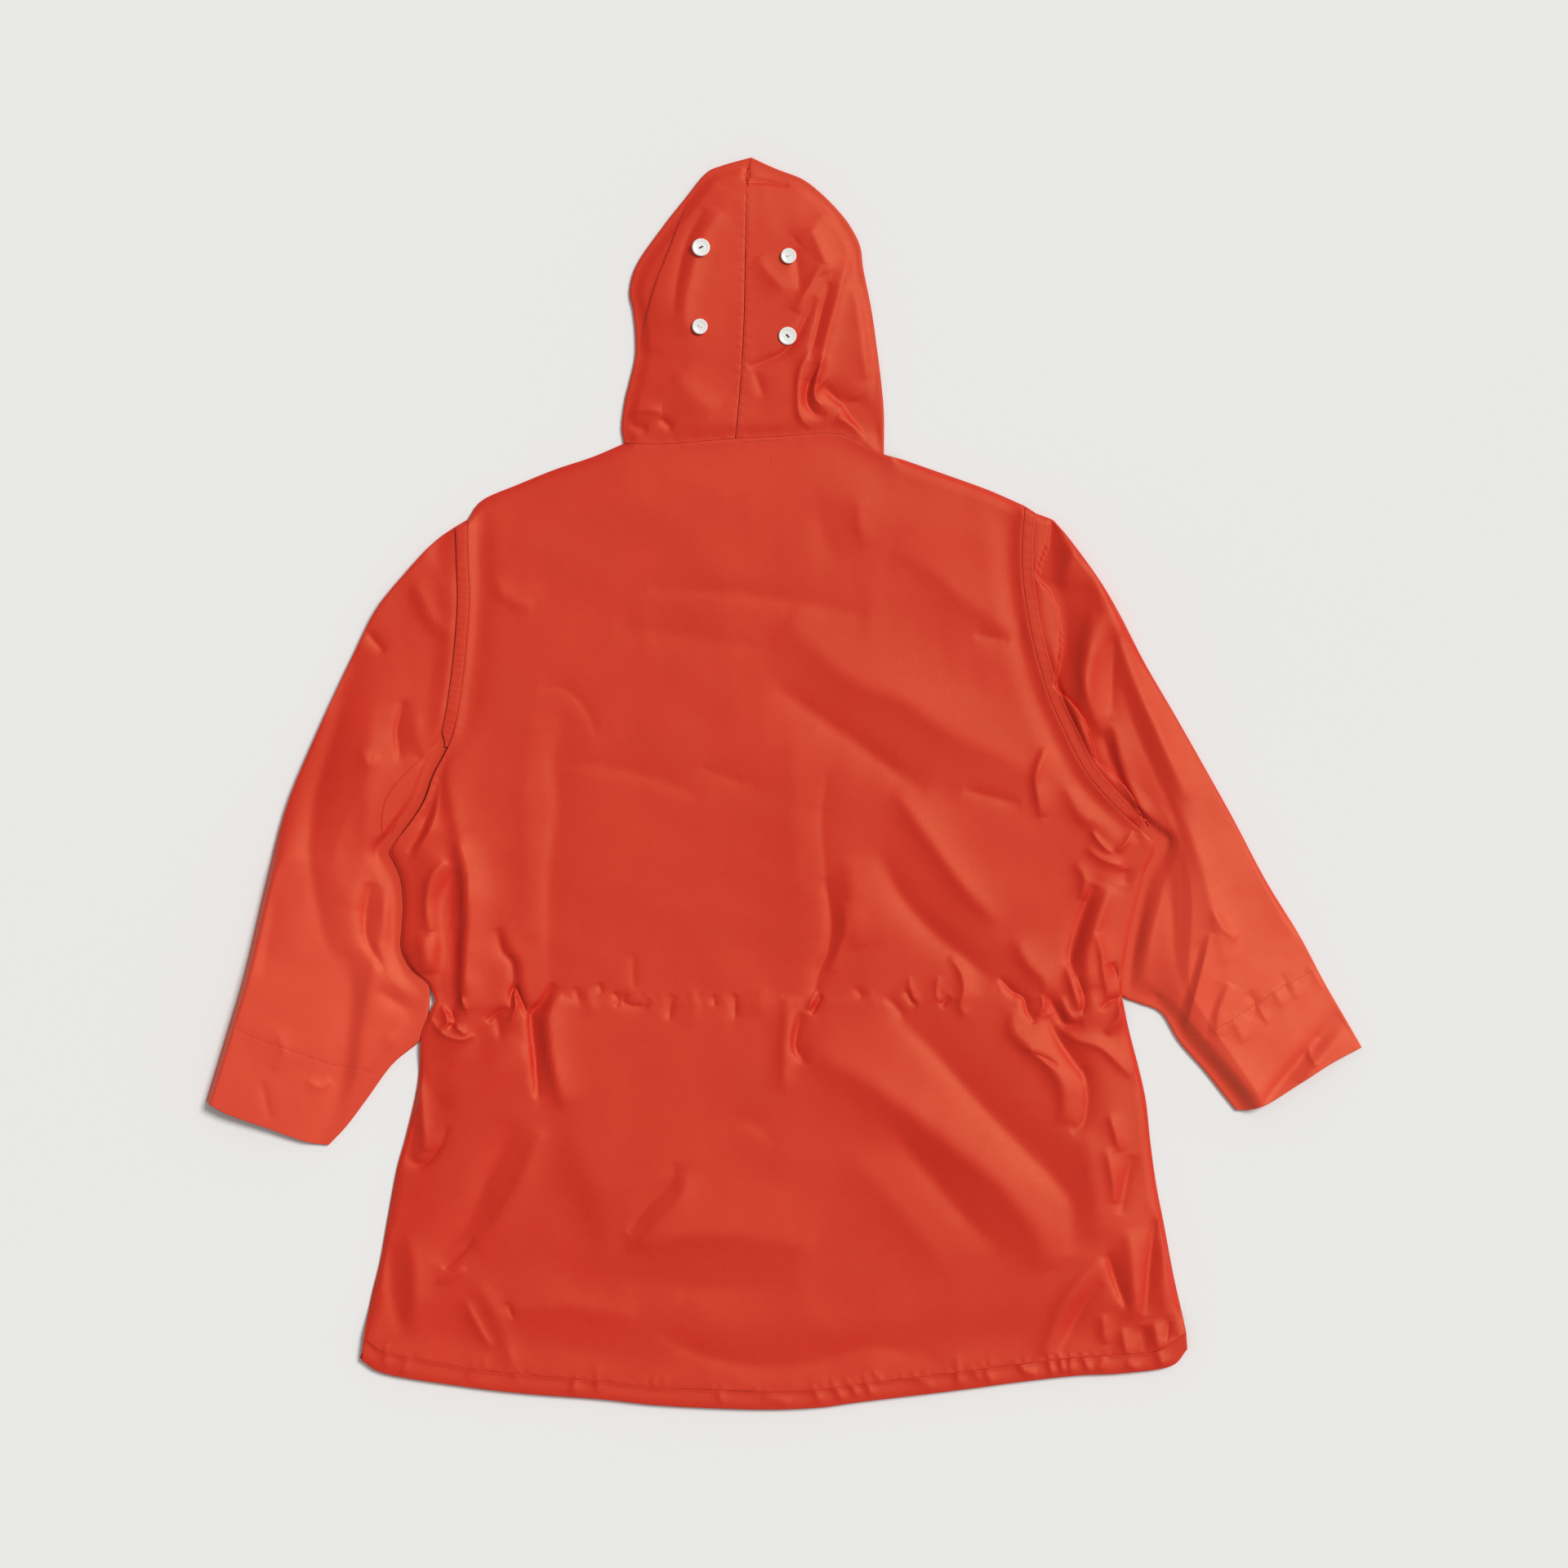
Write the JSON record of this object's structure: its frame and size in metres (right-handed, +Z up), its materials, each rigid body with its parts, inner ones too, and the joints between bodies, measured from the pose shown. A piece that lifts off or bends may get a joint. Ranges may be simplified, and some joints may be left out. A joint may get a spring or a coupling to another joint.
{
  "type": "hooded smock",
  "caption": "Pullover smock of dense orange-red cotton, laid flat with its back up: buttoned hood, long sleeves, gathered waist and a cord hem.",
  "frame": {"origin": "middle of the smock's footprint, on the flat surface that it lies on", "axes": "+X to the right of the back as seen from above, +Y from the hem to the top of the hood, +Z up from the surface"},
  "size_m": [1.018, 1.103, 0.0167],
  "materials": {
    "front_panel": "dense orange-red cotton, matt with a faint sheen",
    "back_panel": "dense orange-red cotton, matt with a faint sheen",
    "sleeve_left": "dense orange-red cotton, matt with a faint sheen",
    "sleeve_right": "dense orange-red cotton, matt with a faint sheen",
    "armhole_seam_left": "dense orange-red cotton, matt with a faint sheen",
    "armhole_seam_right": "dense orange-red cotton, matt with a faint sheen",
    "hood_left": "dense orange-red cotton, matt with a faint sheen",
    "hood_right": "dense orange-red cotton, matt with a faint sheen",
    "hem_casing_front": "dense orange-red cotton, matt with a faint sheen",
    "hem_casing_back": "dense orange-red cotton, matt with a faint sheen",
    "hood_button_1": "white plastic, softly polished",
    "hood_button_2": "white plastic, softly polished",
    "hood_button_3": "white plastic, softly polished",
    "hood_button_4": "white plastic, softly polished"
  },
  "bodies": {
    "root": {"front_panel": "front_panel", "back_panel": "back_panel", "sleeve_left": "sleeve_left", "sleeve_right": "sleeve_right", "armhole_seam_left": "armhole_seam_left", "armhole_seam_right": "armhole_seam_right", "hood_left": "hood_left", "hood_right": "hood_right", "hem_casing_front": "hem_casing_front", "hem_casing_back": "hem_casing_back", "hood_button_1": "hood_button_1", "hood_button_2": "hood_button_2", "hood_button_3": "hood_button_3", "hood_button_4": "hood_button_4"}
  },
  "joints": []
}
